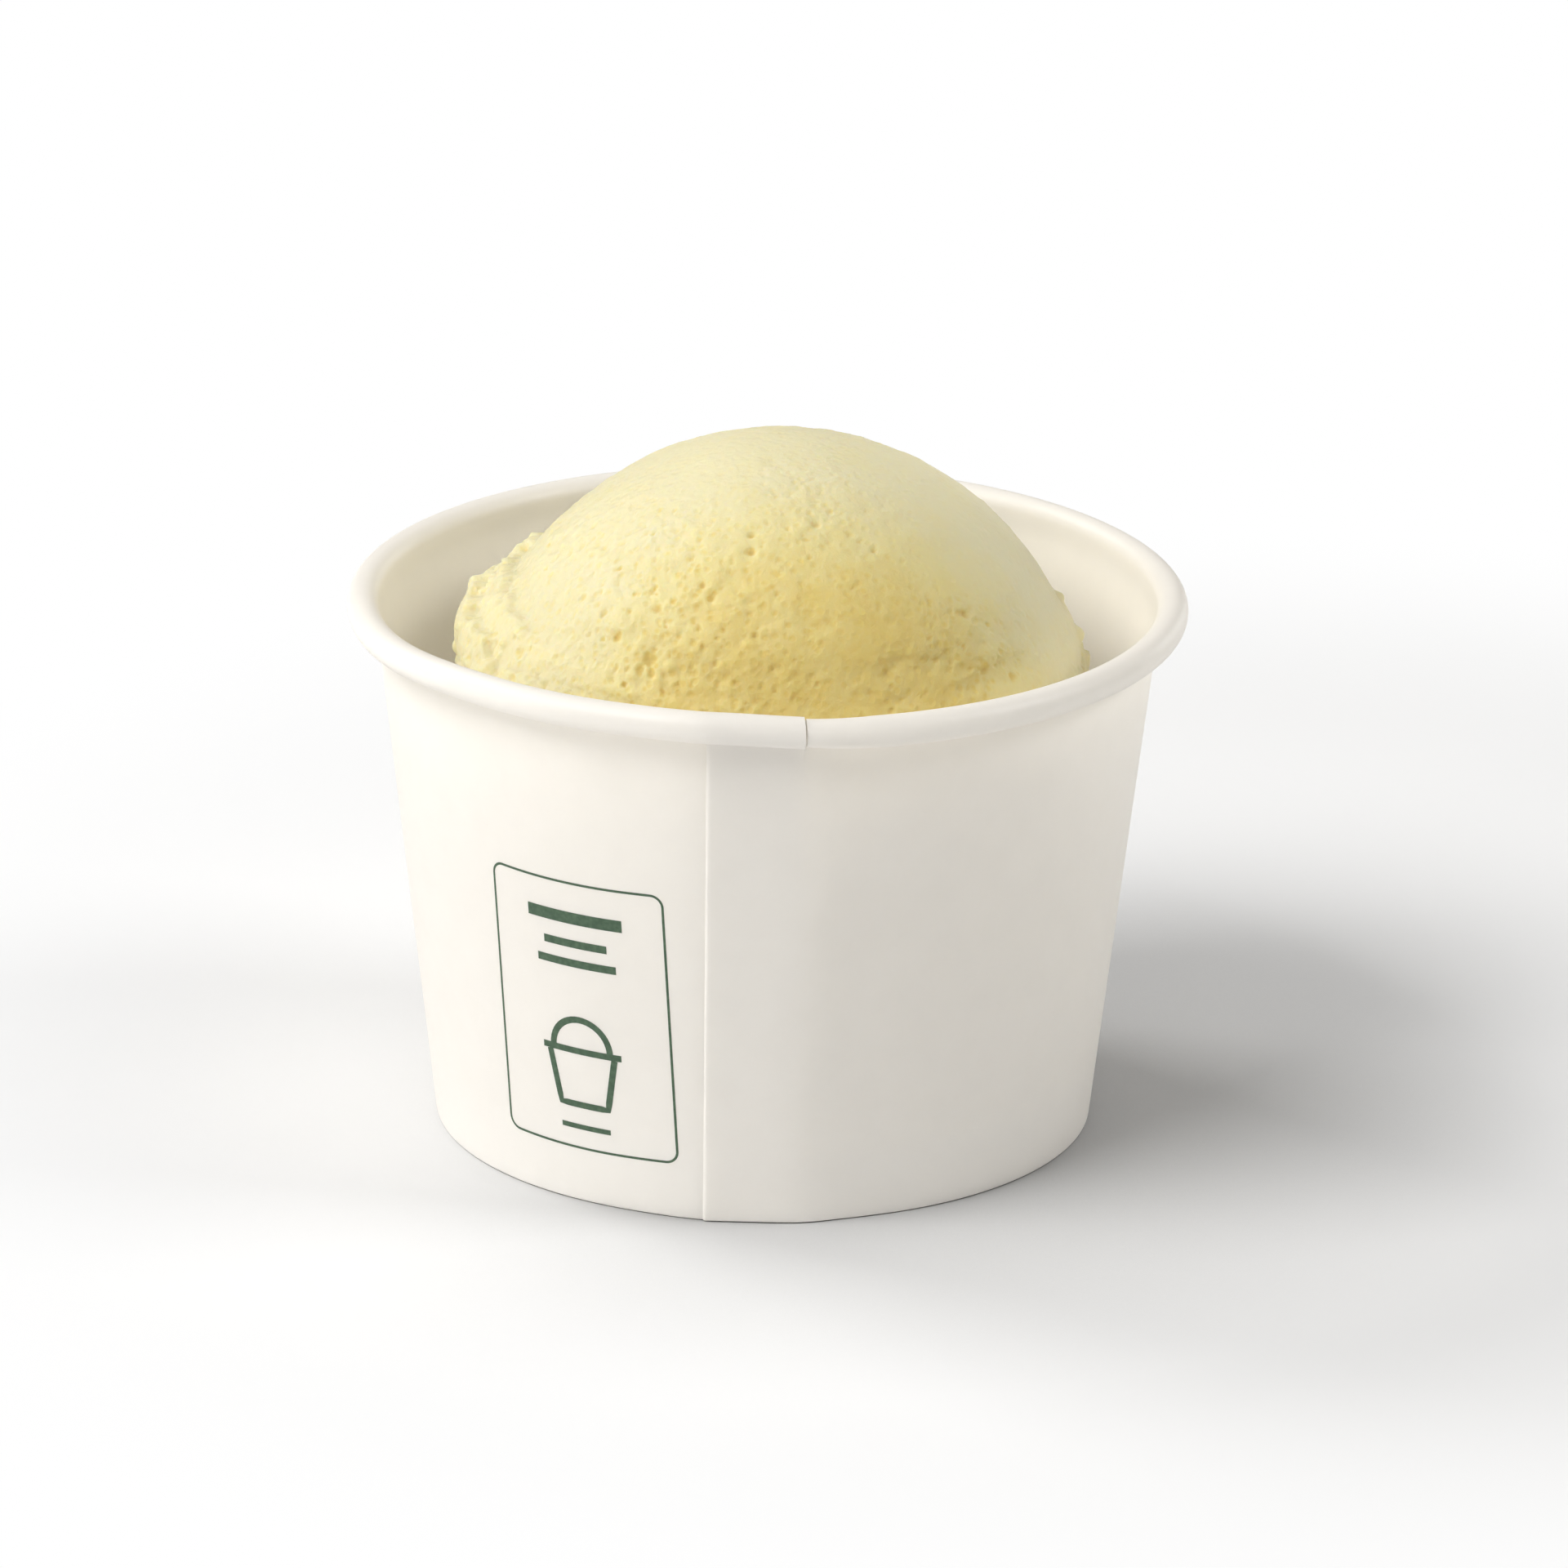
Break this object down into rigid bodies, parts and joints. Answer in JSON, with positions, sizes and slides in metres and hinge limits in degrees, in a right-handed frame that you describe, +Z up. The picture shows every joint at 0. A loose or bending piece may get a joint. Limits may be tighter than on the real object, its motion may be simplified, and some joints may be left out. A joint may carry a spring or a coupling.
{
  "type": "paper ice cream cup with a scoop",
  "caption": "Paperboard cup with a lapped side seam, outward rolled rim and recessed floor, holding a round scoop of vanilla ice cream",
  "frame": {"origin": "centre of the plane that the cup's bottom fold stands on", "axes": "+Z up along the cup's axis, -Y towards the side seam, which faces the picture, +X to the right of somebody looking at the seam"},
  "size_m": [0.075, 0.075, 0.0627],
  "materials": {
    "wall_board": "smooth coated board, satin",
    "floor_board": "smooth coated board, satin",
    "ice_cream": "soft, slightly wet vanilla ice cream"
  },
  "bodies": {
    "root": {"sidewall": "wall_board", "bottom_disc": "floor_board", "ice_cream_scoop": "ice_cream"}
  },
  "joints": []
}
